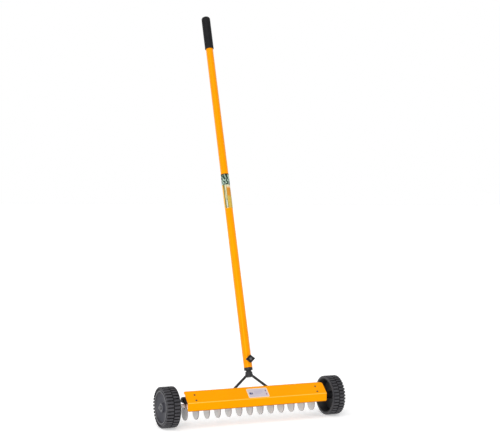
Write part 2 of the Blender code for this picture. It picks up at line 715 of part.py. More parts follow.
build_cover()
build_frame_bar()
for side_name, side_sign in SIDES:
    build_end_bracket(side_name, side_sign)
    build_pivot_lug(side_name, side_sign)
build_axle()
build_wheels()
build_paddles()
build_sleeves()

yoke_axis = axis_empty("yoke_axis", (0, PIVOT_Y, PIVOT_Z), (-POLE_LEAN, 0, 0))
pole_foot = axis_empty("pole_foot", (0, 0, COLLAR_TOP), parent=yoke_axis)
knob_axis = axis_empty("knob_axis", (0, 0, KNOB_STATION - COLLAR_TOP), FORWARD, pole_foot)
build_yoke(yoke_axis)
build_handle(pole_foot)
build_knob(knob_axis)
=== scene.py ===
"""The looks of the magnetic nail sweeper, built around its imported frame.

New pieces are made where the frame says, in metres with +Z up.  Each rides on the body of the CAD node
that it stands for.  Left is -X, and the front, where the cover is, is -Y.
"""

import json
import math

import bmesh
import bpy
from mathutils import Matrix, Vector

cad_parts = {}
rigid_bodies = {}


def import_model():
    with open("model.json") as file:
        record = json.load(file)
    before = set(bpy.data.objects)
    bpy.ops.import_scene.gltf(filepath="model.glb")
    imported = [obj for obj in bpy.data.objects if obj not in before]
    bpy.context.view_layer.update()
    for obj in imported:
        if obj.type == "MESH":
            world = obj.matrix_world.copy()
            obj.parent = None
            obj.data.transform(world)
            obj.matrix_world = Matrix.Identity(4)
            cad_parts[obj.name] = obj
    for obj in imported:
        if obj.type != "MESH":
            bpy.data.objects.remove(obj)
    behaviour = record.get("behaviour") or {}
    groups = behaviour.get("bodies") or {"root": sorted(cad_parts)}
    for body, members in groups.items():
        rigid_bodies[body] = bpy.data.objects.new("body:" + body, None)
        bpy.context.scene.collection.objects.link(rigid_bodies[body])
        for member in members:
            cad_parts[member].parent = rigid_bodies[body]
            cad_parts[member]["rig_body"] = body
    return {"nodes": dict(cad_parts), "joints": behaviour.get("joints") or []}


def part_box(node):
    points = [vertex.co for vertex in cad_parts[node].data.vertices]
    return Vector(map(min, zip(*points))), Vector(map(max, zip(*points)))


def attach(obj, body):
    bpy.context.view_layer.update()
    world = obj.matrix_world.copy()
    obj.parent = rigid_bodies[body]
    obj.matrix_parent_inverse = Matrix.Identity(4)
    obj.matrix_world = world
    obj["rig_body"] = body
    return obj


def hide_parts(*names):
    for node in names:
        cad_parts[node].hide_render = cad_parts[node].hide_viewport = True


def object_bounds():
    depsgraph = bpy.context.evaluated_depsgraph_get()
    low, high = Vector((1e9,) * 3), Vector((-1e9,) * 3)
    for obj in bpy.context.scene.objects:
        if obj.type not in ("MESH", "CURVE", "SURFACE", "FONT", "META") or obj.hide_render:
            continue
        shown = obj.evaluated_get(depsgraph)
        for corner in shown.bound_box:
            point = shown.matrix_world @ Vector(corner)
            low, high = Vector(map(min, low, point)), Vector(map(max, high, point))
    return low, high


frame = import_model()
cad_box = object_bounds()

SIDES = (("left", -1), ("right", 1))
MM = 0.001
joints = {joint["name"]: joint for joint in frame["joints"]}


def middle(node):
    low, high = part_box(node)
    return (low + high) / 2


AXLE = Vector((0, *middle("axle").yz))
AXLE_RADIUS = (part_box("axle")[1].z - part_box("axle")[0].z) / 2
PIVOT = Vector(joints["yoke_tilt"]["pos_m"])
POLE_WAY = Vector(joints["pole_pull"]["axis"]).normalized()
LEAN = math.atan2(POLE_WAY.y, POLE_WAY.z)
POLE_FRAME = Matrix.Translation(PIVOT) @ Matrix.Rotation(-LEAN, 4, "X")

ALONG_X = Matrix.Rotation(math.pi / 2, 4, "Y")          # turns local Z to +X
ALONG_MINUS_X = Matrix.Rotation(-math.pi / 2, 4, "Y")
SIDE_PLANE = Matrix.Rotation(math.pi / 2, 4, "Z") @ Matrix.Rotation(math.pi / 2, 4, "X")   # XY to YZ
FORWARD = Matrix.Rotation(math.pi / 2, 4, "X")          # turns local Z to -Y


# ---------------------------------------------------------------- sizes
# Wheels; heights are distances from the wheel's middle, towards its outer face.
LUG_PITCHES = 36
LUG_SHARE = 0.66                # of a pitch that a lug takes
LUG_DEPTH = 4.0 * MM
LUG_START = 72.6 * MM           # radius where the lugs begin on the shoulder
GROOVE_HALF = 1.6 * MM
RIM_START = -24.0 * MM          # where the plain rim on the inner side begins

OUTER_FACE = [                  # (radius, distance from the middle), from the hub to the tread
    (8.3, 26.0), (16.2, 26.0), (17.8, 24.8), (18.4, 15.5), (20.5, 13.0), (38.0, 10.6), (52.0, 13.0),
    (58.6, 19.0), (60.6, 27.0), (61.4, 28.3), (63.4, 28.3), (64.4, 25.2), (72.0, 24.7), (75.5, 24.4),
    (75.9, 24.0), (75.9, 1.6), (74.6, 0.0),
]
INNER_FACE = [
    (8.3, 26.0), (12.4, 26.0), (13.6, 24.8), (15.6, -2.0), (18.0, -5.0), (50.0, -5.0), (58.0, -2.5),
    (66.5, 26.4), (68.0, 28.0), (77.6, 28.3), (79.2, 27.4), (79.6, 25.6), (75.9, 24.4), (75.9, 1.6),
]
# Where the wheel's painted highlights, sheen and shade lie.
HUB_FACE_RADIUS, HUB_FACE_HEIGHT = 17.4 * MM, 24.6 * MM
RING_RADIUS, RING_HEIGHT = 64.0 * MM, 27.6 * MM         # the raised ring round the outer dish, which takes a painted highlight
OUTER_DISH_RADIUS, INNER_DISH_RADIUS = 59.0 * MM, 71.0 * MM
INNER_DISH_FLOOR = 6.0 * MM
GROOVE_RADIUS, GROOVE_REACH = 74.4 * MM, 4.2 * MM       # the band of painted shade between the lugs
TREAD_HALF = 26.0 * MM
WHEEL_BORE = 8.0 * MM
BUSH_END, BUSH_FLANGE = 26.3 * MM, 28.3 * MM
CAP_RADIUS, CAP_FOOT = 9.5 * MM, 26.4 * MM

# The cover; places are (y, z) from the axle.
LIP_BOTTOM = Vector((-72.0, -9.8)) * MM        # the outer outline
LIP_TOP = Vector((-72.5, 23.0)) * MM
RIDGE = Vector((-28.0, 63.0)) * MM
RETURN_EDGE = Vector((-20.4, 53.7)) * MM
COVER_SHEET = 2.0 * MM
SLOPE = (RIDGE - LIP_TOP).normalized()
SLOPE_OUT = Vector((-SLOPE.y, SLOPE.x))
SLOPE_ANGLE = math.atan2(SLOPE.y, SLOPE.x)
LIP_CORNER = 6 * MM
RIDGE_CORNER = 10 * MM          # the right one; the left one is sharper
LEFT_RIDGE_CORNER = 3 * MM
FOLD_REACH = 3.0 * MM           # from a fold's sharp edge to where its rounding starts
LABEL_HALF = Vector((45.0, 22.5)) * MM
FILM = 0.3 * MM
LABEL_FRAME = 2.6 * MM
FIT_GAP = 0.3 * MM              # between pieces that touch
PLATE_STEEL = 3.0 * MM          # of the brackets and lugs
FLANGE_START, FLANGE_END = 5 * MM, 47 * MM              # up the slope from the fold
FLANGE_HALF = 8 * MM
FLANGE_OFFSET = 6.5 * MM        # from the web's middle to the flange's
FLANGE_DEPTH = -COVER_SHEET - FIT_GAP - PLATE_STEEL / 2
SCREW_SHANK = 2.0 * MM

# The frame bar and its ends.
BAR_BOTTOM = 11.2 * MM          # from the axle
BAR_TOP = 34.0 * MM
BAR_HALF_WIDTH = 21.0 * MM
BAR_WALL = 2.5 * MM
ARM_RADIUS = 5.2 * MM

# Paddles.
EYE_RADIUS = 10.5 * MM
LOBE_RADIUS = 30.0 * MM
LOBE_DROP = 27.7 * MM
PLATE = 5.0 * MM
EYE_RISE = 0.6 * MM             # of the eye's faces over the plate's
EYE_SHADOW_RING = 2.4 * MM            # width of the ring of painted shadow round the eye
HUB_RADIUS, HUB_LENGTH = 9.0 * MM, 10.0 * MM
SLEEVE_EDGE = 0.6 * MM

# Yoke, pole and knob.
COLLAR_TOP = 86.5 * MM          # distances along the pole from the pivot
ARM_TOP, ARM_CORNER = (14.1 * MM, 53.1 * MM), (80.0 * MM, 0)
POLE_TOP = 1609.0 * MM
GRIP_BOTTOM, GRIP_TOP = 1476.0 * MM, 1626.0 * MM
LABEL_BOTTOM, LABEL_TOP = 756.0 * MM, 906.0 * MM
LABEL_TURN = math.radians(25)   # the print's middle line is turned this far to the left of the front
LABEL_WRAP = math.radians(220)
LABEL_HEAD, LABEL_TOP_LINE = 0.675, 0.97        # where its head and its top line start, in lengths
LABEL_BORDER = -12.6 * MM       # where its yellow border ends
KNOB_STATION = 118.0 * MM
FOOT_RADIUS, HEAD_RADIUS = 17.5 * MM, 15.3 * MM
POLE_WALL = 1.6 * MM
KNOB_FACE, KNOB_DEPTH = 36.0 * MM, 10.0 * MM
KNOB_HALF_WIDTH, KNOB_HALF_HEIGHT = 19.9 * MM, 16.4 * MM
STEM_RADIUS, STEM_BORE, STEM_START = 7.0 * MM, 4.3 * MM, 18.6 * MM
PIN_CAP_RADIUS, PIN_CAP_FLOOR = 8.2 * MM, 2.0 * MM
GRIP_RADIUS, GRIP_DOME = 18.8 * MM, 12.0 * MM
GRIP_RINGS, GRIP_RING_PITCH = 46, 2.6 * MM


# ---------------------------------------------------------------- node helpers
def add_node(tree, kind, inputs=None, **settings):
    made = tree.nodes.new(kind)
    for name, value in settings.items():
        setattr(made, name, value)
    for socket, value in (inputs or {}).items():
        if isinstance(value, bpy.types.NodeSocket):
            tree.links.new(value, made.inputs[socket])
        else:
            made.inputs[socket].default_value = value
    return made


def maths(tree, operation, first, second=0.0):
    return add_node(tree, "ShaderNodeMath", {0: first, 1: second}, operation=operation).outputs[0]


def scaled(tree, value, from_low, from_high, to_low, to_high):
    ends = {"From Min": from_low, "From Max": from_high, "To Min": to_low, "To Max": to_high}
    return add_node(tree, "ShaderNodeMapRange", {"Value": value, **ends}).outputs["Result"]


def mixed(tree, share, first, second):
    """first where share is 0, second where it is 1; both are colours or sockets."""
    colours = [c if isinstance(c, bpy.types.NodeSocket) else (*c, 1.0) for c in (first, second)]
    sockets = {0: share, 6: colours[0], 7: colours[1]}
    return add_node(tree, "ShaderNodeMix", sockets, data_type="RGBA").outputs[2]


def below(tree, value, limit):
    return maths(tree, "LESS_THAN", value, limit)


def above(tree, value, limit):
    return maths(tree, "GREATER_THAN", value, limit)


def near(tree, value, centre, reach):
    """1 where the value is within reach of the centre."""
    return below(tree, maths(tree, "ABSOLUTE", maths(tree, "SUBTRACT", value, centre)), reach)


def both(tree, first, second):
    return maths(tree, "MULTIPLY", first, second)


def split(tree, vector):
    return add_node(tree, "ShaderNodeSeparateXYZ", {"Vector": vector}).outputs


def painted_colour(tree):
    return tree.nodes["Principled BSDF"].inputs["Base Color"].links[0].from_socket


def paint(tree, colour):
    tree.links.new(colour, tree.nodes["Principled BSDF"].inputs["Base Color"])


def own_place(tree):
    """The piece's own coordinates, which stay on it as it moves."""
    return add_node(tree, "ShaderNodeTexCoord").outputs["Object"]


def noise(tree, scale, detail=3.0, stretch=(1, 1, 1)):
    mapped = add_node(tree, "ShaderNodeMapping", {"Vector": own_place(tree), "Scale": stretch})
    inputs = {"Vector": mapped.outputs["Vector"], "Scale": scale, "Detail": detail}
    return add_node(tree, "ShaderNodeTexNoise", inputs).outputs["Fac"]


def relief(tree, shader, height, strength, distance):
    inputs = {"Height": height, "Strength": strength, "Distance": distance}
    bump = add_node(tree, "ShaderNodeBump", inputs)
    tree.links.new(bump.outputs["Normal"], shader.inputs["Normal"])


def worn_edges(tree, reach, low, high):
    """1 on convex and concave edges, broken up by noise, and 0 on open faces."""
    rounded = add_node(tree, "ShaderNodeBevel", {"Radius": reach}, samples=6).outputs["Normal"]
    plain = add_node(tree, "ShaderNodeNewGeometry").outputs["Normal"]
    product = add_node(tree, "ShaderNodeVectorMath", {0: rounded, 1: plain}, operation="DOT_PRODUCT")
    bend = maths(tree, "SUBTRACT", 1.0, product.outputs["Value"])
    broken = maths(tree, "MULTIPLY", bend, scaled(tree, noise(tree, 120, 4), 0.35, 0.65, 0.4, 1.4))
    return scaled(tree, broken, low, high, 0.0, 1.0)


def finish(name, light, dark, roughness, metallic=0.0, drift=9.0, grain=900.0, depth=0.02 * MM,
           spread=0.06, strength=0.5, edge=None, edge_reach=0.8 * MM, stretch=(1, 1, 1), **uniform):
    """A finish whose colour and gloss drift over the piece, with a fine grain and rubbed edges."""
    made = bpy.data.materials.new(name)
    made.use_nodes = True
    tree = made.node_tree
    shader = tree.nodes["Principled BSDF"]
    slow = noise(tree, drift, 4)
    fine = noise(tree, grain, 3, stretch)
    patches = maths(tree, "ADD", maths(tree, "MULTIPLY", slow, 0.7), maths(tree, "MULTIPLY", fine, 0.3))
    colour = mixed(tree, scaled(tree, patches, 0.38, 0.62, 0.0, 1.0), dark, light)
    if edge:
        colour = mixed(tree, worn_edges(tree, edge_reach, 0.03, 0.30), colour, edge)
    tree.links.new(colour, shader.inputs["Base Color"])
    gloss = scaled(tree, patches, 0.35, 0.65, roughness - spread, roughness + spread)
    tree.links.new(gloss, shader.inputs["Roughness"])
    shader.inputs["Metallic"].default_value = metallic
    for socket, value in uniform.items():
        shader.inputs[socket.replace("_", " ")].default_value = value
    relief(tree, shader, fine, strength, depth)
    return made


def block_mask(tree, across, along, centre, half):
    """1 inside a rectangle of the print, and 0 outside it."""
    inside = [near(tree, value, mid, reach) for value, mid, reach in zip((across, along), centre, half)]
    return both(tree, *inside)


# ---------------------------------------------------------------- materials
YELLOW_TUBE = finish(
    "yellow_tube_paint", (0.90, 0.298, 0.0), (0.82, 0.262, 0.0), 0.30,
    drift=6.0, grain=500.0, depth=0.02 * MM, stretch=(1, 1, 0.15), Specular_IOR_Level=0.45,
    Specular_Tint=(1.0, 0.62, 0.06, 1.0),
)
BLACK_PAINT = finish(
    "black_powder_coat", (0.030, 0.030, 0.032), (0.018, 0.018, 0.020), 0.48,
    drift=14.0, grain=1200.0, depth=0.05 * MM, edge=(0.08, 0.08, 0.085), Specular_IOR_Level=0.25,
)
BLACK_PLASTIC = finish(
    "black_moulded_plastic", (0.010, 0.010, 0.011), (0.005, 0.005, 0.006), 0.45,
    drift=30.0, grain=1500.0, depth=0.05 * MM, edge=(0.035, 0.035, 0.038), Specular_IOR_Level=0.25,
)
GRIP_RUBBER = finish(
    "black_grip_rubber", (0.012, 0.012, 0.013), (0.005, 0.005, 0.006), 0.60,
    drift=18.0, grain=1400.0, depth=0.12 * MM, Specular_IOR_Level=0.15,
)
DARK_STEEL = finish(
    "blackened_steel", (0.16, 0.16, 0.17), (0.07, 0.07, 0.08), 0.40,
    metallic=0.8, drift=60.0, grain=900.0, depth=0.02 * MM, stretch=(6, 1, 1),
)
STEEL = finish(
    "turned_steel", (0.46, 0.46, 0.48), (0.30, 0.30, 0.31), 0.33,
    metallic=0.95, drift=60.0, grain=900.0, depth=0.02 * MM, stretch=(6, 1, 1),
)
SCREW_PLATE = finish(
    "bronze_screw", (0.30, 0.13, 0.02), (0.16, 0.07, 0.01), 0.40,
    drift=60.0, grain=900.0, depth=0.02 * MM, Specular_IOR_Level=0.4,
)
NYLON = finish(
    "white_nylon", (0.88, 0.87, 0.85), (0.80, 0.79, 0.76), 0.44,
    drift=40.0, grain=800.0, depth=0.03 * MM, Subsurface_Weight=0.1, Subsurface_Scale=1.5 * MM,
)
# Painted shade: near black for the walls of the screws' cross recesses.
RECESS_SHADE = finish(
    "painted_recess_shade", (0.030, 0.022, 0.012), (0.010, 0.007, 0.004), 0.60, drift=80.0, grain=1500.0,
)


def length_of(tree, across, up):
    flat = add_node(tree, "ShaderNodeCombineXYZ", {"X": across, "Y": up}).outputs["Vector"]
    return add_node(tree, "ShaderNodeVectorMath", {0: flat}, operation="LENGTH").outputs["Value"]


def plated_paddle():
    """Pale satin plating, painted shade on the plate's rims, and a pale eye in a ring of painted shadow."""
    made = finish(
        "satin_zinc", (0.67, 0.665, 0.66), (0.57, 0.565, 0.56), 0.50,
        metallic=0.05, drift=28.0, grain=420.0, depth=0.03 * MM, spread=0.10, stretch=(1, 1, 4),
    )
    tree = made.node_tree
    coordinates = add_node(tree, "ShaderNodeTexCoord").outputs
    facing = split(tree, coordinates["Normal"])["X"]
    place = split(tree, coordinates["Object"])
    radius = length_of(tree, maths(tree, "SUBTRACT", place["Y"], AXLE.y),
                       maths(tree, "SUBTRACT", place["Z"], AXLE.z))
    # Painted shade: faces that don't face along the axle, the plate's rims, are made darker.
    rim_shade = scaled(tree, maths(tree, "ABSOLUTE", facing), 0.55, 0.95, 1.0, 0.0)
    colour = mixed(tree, rim_shade, painted_colour(tree), (0.27, 0.255, 0.26))
    # Painted shadow: a near-black ring round the raised eye.
    colour = mixed(tree, below(tree, radius, EYE_RADIUS + EYE_SHADOW_RING), colour, (0.035, 0.014, 0.014))
    colour = mixed(tree, below(tree, radius, EYE_RADIUS - FIT_GAP), colour, (0.98, 0.72, 0.66))
    paint(tree, colour)
    return made


def folded_paint():
    """The cover's paint, with painted light: painted highlights on both folds, painted shade deepening the
    lip, and dark lines of painted shade below the ridge and along the lip's cut lower edge.
    """
    made = finish(
        "yellow_cover_coat", (0.97, 0.335, 0.0), (0.90, 0.300, 0.0), 0.42,
        drift=5.0, grain=700.0, depth=0.035 * MM, edge=(1.0, 0.48, 0.06), Specular_IOR_Level=0.35,
        Specular_Tint=(1.0, 0.55, 0.0, 1.0),
    )
    tree = made.node_tree
    height = split(tree, own_place(tree))["Z"]
    # Painted shade: the upright lip is made darker than the slope above it.
    lip_shade = below(tree, height, AXLE.z + LIP_TOP.y - 1.5 * MM)
    colour = mixed(tree, maths(tree, "MULTIPLY", lip_shade, 0.6), painted_colour(tree), (0.86, 0.285, 0.0))
    painted_light_bands = (                   # painted highlights and lines of painted shade: (height from the axle, reach, colour, strength)
        # Painted highlight along the front fold.
        (LIP_TOP.y - 0.2 * MM, 1.7 * MM, (1.0, 0.56, 0.10), 0.70),
        # Painted shade: a dark line along the lip's lower edge.
        (LIP_BOTTOM.y, 4.0 * MM, (0.34, 0.13, 0.004), 0.95),
        # Painted shade: a dark line just below the ridge.
        (RIDGE.y - 2.6 * MM, 1.5 * MM, (0.62, 0.24, 0.006), 0.7),
        # Painted highlight along the ridge.
        (RIDGE.y, 1.4 * MM, (1.0, 0.66, 0.22), 0.8),
    )
    for station, reach, tone, share in painted_light_bands:
        away = maths(tree, "ABSOLUTE", maths(tree, "SUBTRACT", height, AXLE.z + station))
        colour = mixed(tree, scaled(tree, away, 0.4 * reach, reach, share, 0.0), colour, tone)
    paint(tree, colour)
    return made


def wheel_plastic():
    """Dark plastic with paler rubbed edges; painted highlights on the hub face and the raised ring, a painted
    bluish sheen on the outer dish, and near-black painted shade in the inner dish and the grooves.
    """
    made = finish(
        "grey_moulded_wheel", (0.058, 0.057, 0.063), (0.038, 0.037, 0.042), 0.45,
        drift=22.0, grain=1100.0, depth=0.09 * MM, spread=0.08, edge=(0.16, 0.16, 0.17),
        edge_reach=1.0 * MM, Specular_IOR_Level=0.22,
    )
    tree = made.node_tree
    place = split(tree, own_place(tree))
    height = place["Z"]
    radius = length_of(tree, place["X"], place["Y"])
    painted_light_zones = (                   # painted highlights, sheen and shade: (where, colour, strength), each over the ones before it
        # Painted sheen: the outer dish made paler and bluish.
        (both(tree, below(tree, radius, OUTER_DISH_RADIUS), above(tree, height, 0.0)),
         (0.075, 0.076, 0.092), 0.5),
        # Painted highlight on the raised ring.
        (both(tree, below(tree, radius, RING_RADIUS), above(tree, height, RING_HEIGHT)),
         (0.20, 0.20, 0.21), 0.8),
        # Painted highlight on the hub face.
        (both(tree, below(tree, radius, HUB_FACE_RADIUS), above(tree, height, HUB_FACE_HEIGHT)),
         (0.12, 0.12, 0.13), 0.85),
        # Painted shade: the inner dish made near black.
        (both(tree, below(tree, radius, INNER_DISH_RADIUS), below(tree, height, INNER_DISH_FLOOR)),
         (0.003, 0.003, 0.004), 0.92),
        # Painted shade: the grooves between the lugs made near black.
        (both(tree, near(tree, radius, GROOVE_RADIUS, GROOVE_REACH), near(tree, height, 0.0, TREAD_HALF)),
         (0.005, 0.005, 0.006), 0.85),
    )
    colour = painted_colour(tree)
    for where, tone, share in painted_light_zones:
        colour = mixed(tree, maths(tree, "MULTIPLY", where, share), colour, tone)
    paint(tree, colour)
    return made


WHEEL_PLASTIC = wheel_plastic()
HUB_PLASTIC = finish(
    "grey_hub_cap", (0.11, 0.11, 0.115), (0.08, 0.08, 0.085), 0.42,
    drift=40.0, grain=1100.0, depth=0.06 * MM, edge=(0.22, 0.22, 0.23), Specular_IOR_Level=0.35,
)


def cover_label_print():
    """Pale film with a lighter frame line, a dark block, faint bars and two small blocks."""
    film = (0.50, 0.45, 0.50)
    made = finish(
        "cover_label_film", (0.54, 0.48, 0.52), film, 0.34,
        drift=30.0, grain=900.0, depth=0.01 * MM, Specular_IOR_Level=0.3,
    )
    tree = made.node_tree
    place = split(tree, own_place(tree))
    across, along = place["X"], place["Y"]
    field = block_mask(tree, across, along, (0, 0), (LABEL_HALF.x - LABEL_FRAME, LABEL_HALF.y - LABEL_FRAME))
    colour = mixed(tree, field, (0.80, 0.68, 0.50), painted_colour(tree))
    marks = (
        ((-30 * MM, -1 * MM), (7.0 * MM, 5.0 * MM), (0.045, 0.05, 0.14)),
        ((-28 * MM, 1 * MM), (2.4 * MM, 2.0 * MM), film),
        ((3 * MM, 8 * MM), (19 * MM, 1.4 * MM), (0.40, 0.36, 0.46)),
        ((3 * MM, 2 * MM), (19 * MM, 1.4 * MM), (0.42, 0.38, 0.48)),
        ((-2 * MM, -5 * MM), (14 * MM, 1.2 * MM), (0.42, 0.38, 0.46)),
        ((36 * MM, 8 * MM), (2.0 * MM, 3.2 * MM), (0.10, 0.09, 0.18)),
        ((36 * MM, -8 * MM), (2.0 * MM, 4.0 * MM), (0.30, 0.10, 0.18)),
    )
    for centre, half, tone in marks:
        colour = mixed(tree, block_mask(tree, across, along, centre, half), colour, tone)
    paint(tree, colour)
    return made


def pole_label_print(length, turned_by):
    """A dark green head with pale waves over olive, cream, brown and grey fields."""
    made = finish(
        "pole_label_film", (0.62, 0.60, 0.40), (0.52, 0.50, 0.30), 0.34,
        drift=40.0, grain=900.0, depth=0.01 * MM, Specular_IOR_Level=0.2,
    )
    tree = made.node_tree
    place = split(tree, own_place(tree))
    across = maths(tree, "SUBTRACT", maths(tree, "MULTIPLY", place["X"], math.cos(turned_by)),
                   maths(tree, "MULTIPLY", place["Y"], math.sin(turned_by)))
    along = place["Z"]
    head = LABEL_HEAD * length
    colour = painted_colour(tree)
    waves = add_node(
        tree, "ShaderNodeTexWave",
        {"Vector": own_place(tree), "Scale": 26.0, "Distortion": 12.0, "Detail": 2.0, "Detail Scale": 2.5},
    )
    streak = scaled(tree, waves.outputs["Fac"], 0.72, 0.86, 0.0, 1.0)
    speckle = scaled(tree, noise(tree, 420, 2), 0.42, 0.62, 0.0, 1.0)
    khaki = mixed(tree, speckle, (0.62, 0.42, 0.07), (0.40, 0.27, 0.04))
    fields = (
        ((8.6 * MM, 0.17 * length), (7.6 * MM, 0.18 * length), khaki),
        ((8.6 * MM, 0.47 * length), (7.6 * MM, 0.12 * length), (0.56, 0.23, 0.02)),
        ((8.6 * MM, 0.60 * length), (7.6 * MM, 0.015 * length), (0.75, 0.42, 0.20)),
        ((0.4 * MM, 0.32 * length), (0.9 * MM, 0.35 * length), (0.22, 0.21, 0.04)),
        ((-3.6 * MM, 0.14 * length), (3.2 * MM, 0.12 * length), (0.10, 0.10, 0.04)),
        ((-3.6 * MM, 0.14 * length), (2.2 * MM, 0.105 * length), (0.52, 0.56, 0.48)),
        ((-10.2 * MM, 0.34 * length), (2.2 * MM, 0.35 * length), (0.15, 0.12, 0.012)),
    )
    for centre, half, tone in fields:
        colour = mixed(tree, block_mask(tree, across, along, centre, half), colour, tone)
    slant = scaled(tree, along, 0.25 * length, 0.70 * length, -3 * MM, -8 * MM)
    line = both(tree, near(tree, across, slant, 0.9 * MM), above(tree, along, 0.26 * length))
    colour = mixed(tree, line, colour, (0.14, 0.15, 0.04))
    green = mixed(tree, streak, (0.016, 0.036, 0.024), (0.42, 0.58, 0.46))
    colour = mixed(tree, above(tree, along, head), colour, green)
    colour = mixed(tree, above(tree, along, LABEL_TOP_LINE * length), colour, (0.045, 0.032, 0.008))
    border = both(tree, below(tree, across, LABEL_BORDER), below(tree, along, head))
    colour = mixed(tree, border, colour, (0.88, 0.44, 0.05))
    paint(tree, colour)
    return made


# ---------------------------------------------------------------- shape helpers
def piece(name, bm, matrix, look, stands_for, smooth=35, bevel=0.0, rings=2):
    """A mesh object in the row frame that rides on the body of the CAD node it stands for."""
    mesh = bpy.data.meshes.new(name)
    bm.to_mesh(mesh)
    bm.free()
    mesh.shade_smooth()
    mesh.set_sharp_from_angle(angle=math.radians(smooth))
    obj = bpy.data.objects.new(name, mesh)
    bpy.context.scene.collection.objects.link(obj)
    obj.matrix_world = matrix
    mesh.materials.append(look)
    if bevel:
        edges = obj.modifiers.new("edges", "BEVEL")
        edges.width = bevel
        edges.segments = rings
        edges.limit_method = "ANGLE"
        edges.angle_limit = math.radians(40)
        edges.harden_normals = True
    nodes = [stands_for] if isinstance(stands_for, str) else list(stands_for)
    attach(obj, frame["nodes"][nodes[0]]["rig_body"])
    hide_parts(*nodes)
    return obj


def fillet(points, radius, count=4, closed=True):
    """An outline with its corners rounded."""
    made = []
    corners = [Vector(p) for p in points]
    for index, corner in enumerate(corners):
        if not closed and index in (0, len(corners) - 1):
            made.append(tuple(corner))
            continue
        before = corners[index - 1] - corner
        after = corners[(index + 1) % len(corners)] - corner
        reach = min(radius, 0.45 * before.length, 0.45 * after.length)
        start = corner + before.normalized() * reach
        stop = corner + after.normalized() * reach
        for step in range(count + 1):
            share = step / count
            made.append(tuple(start.lerp(corner, share).lerp(corner.lerp(stop, share), share)))
    return made


def arc(centre, radius, start, end, count):
    turns = [math.radians(start + (end - start) * i / count) for i in range(count + 1)]
    return [(centre[0] + radius * math.cos(a), centre[1] + radius * math.sin(a)) for a in turns]


def turned(profile, steps=48, closed=True):
    """A profile of (radius, height) points turned about Z. Unless closed, it ends on the axis."""
    bm = bmesh.new()
    turns = [2 * math.pi * i / steps for i in range(steps)]
    rings = [[bm.verts.new((r * math.cos(a), r * math.sin(a), z)) for r, z in profile] for a in turns]
    last = len(profile) if closed else len(profile) - 1
    for first, second in zip(rings, rings[1:] + rings[:1]):
        for i in range(last):
            j = (i + 1) % len(profile)
            bm.faces.new((first[i], second[i], second[j], first[j]))
    bmesh.ops.remove_doubles(bm, verts=bm.verts, dist=1e-7)
    bmesh.ops.recalc_face_normals(bm, faces=bm.faces)
    return bm


def tube_ring(outer, inner, low, high, edge=0.5 * MM, steps=32):
    outline = [(outer, low), (outer, high), (inner, high), (inner, low)]
    return turned(fillet(outline, edge, 3), steps)


def slab(loops, thickness):
    """A flat outline with holes, centred on local Z = 0."""
    curve = bpy.data.curves.new("outline", "CURVE")
    curve.dimensions = "2D"
    curve.fill_mode = "BOTH"
    curve.extrude = thickness / 2
    for loop in loops:
        spline = curve.splines.new("POLY")
        spline.points.add(len(loop) - 1)
        for point, (x, y) in zip(spline.points, loop):
            point.co = (x, y, 0, 1)
        spline.use_cyclic_u = True
    holder = bpy.data.objects.new("outline", curve)
    bpy.context.scene.collection.objects.link(holder)
    bpy.context.view_layer.update()
    shape = bpy.data.meshes.new_from_object(holder.evaluated_get(bpy.context.evaluated_depsgraph_get()))
    bm = bmesh.new()
    bm.from_mesh(shape)
    bpy.data.objects.remove(holder)
    bpy.data.curves.remove(curve)
    bpy.data.meshes.remove(shape)
    bmesh.ops.remove_doubles(bm, verts=bm.verts, dist=1e-6)
    bmesh.ops.dissolve_limit(bm, angle_limit=0.001, verts=bm.verts, edges=bm.edges)
    bmesh.ops.recalc_face_normals(bm, faces=bm.faces)
    return bm


def joined(*shapes):
    """One bmesh from several, each with its own matrix."""
    whole = bmesh.new()
    for bm, matrix in shapes:
        bm.transform(matrix)
        mesh = bpy.data.meshes.new("part")
        bm.to_mesh(mesh)
        bm.free()
        whole.from_mesh(mesh)
        bpy.data.meshes.remove(mesh)
    return whole


def swept(path, radius, sides=20):
    """A round bar along a path that stays in the XZ plane, with flat ends."""
    bm = bmesh.new()
    points = [Vector((x, 0, z)) for x, z in path]
    rings = []
    for index, point in enumerate(points):
        before = points[max(index - 1, 0)]
        after = points[min(index + 1, len(points) - 1)]
        way = (after - before).normalized()
        side = Vector((-way.z, 0, way.x))
        rings.append([
            bm.verts.new(point + radius * (side * math.cos(a) + Vector((0, 1, 0)) * math.sin(a)))
            for a in (2 * math.pi * k / sides for k in range(sides))
        ])
    for first, second in zip(rings, rings[1:]):
        for i in range(sides):
            j = (i + 1) % sides
            bm.faces.new((first[i], first[j], second[j], second[i]))
    bm.faces.new(rings[0])
    bm.faces.new(reversed(rings[-1]))
    bmesh.ops.recalc_face_normals(bm, faces=bm.faces)
    return bm


def lathe(profile, edge, rings, steps=32):
    """A profile in metres that ends on the axis, with its corners rounded, turned about Z."""
    return turned(fillet(profile, edge, rings, closed=False), steps, closed=False)


def at(y, z, x=0.0):
    """A place given as (y, z) from the axle."""
    return Matrix.Translation((x, AXLE.y + y, AXLE.z + z))


# ---------------------------------------------------------------- wheels
def lug_sector(share, outer_row):
    """Whether a place round the wheel, in pitches, is on a lug of that row."""
    shifted = share if outer_row else share - 0.5
    return shifted % 1.0 < LUG_SHARE


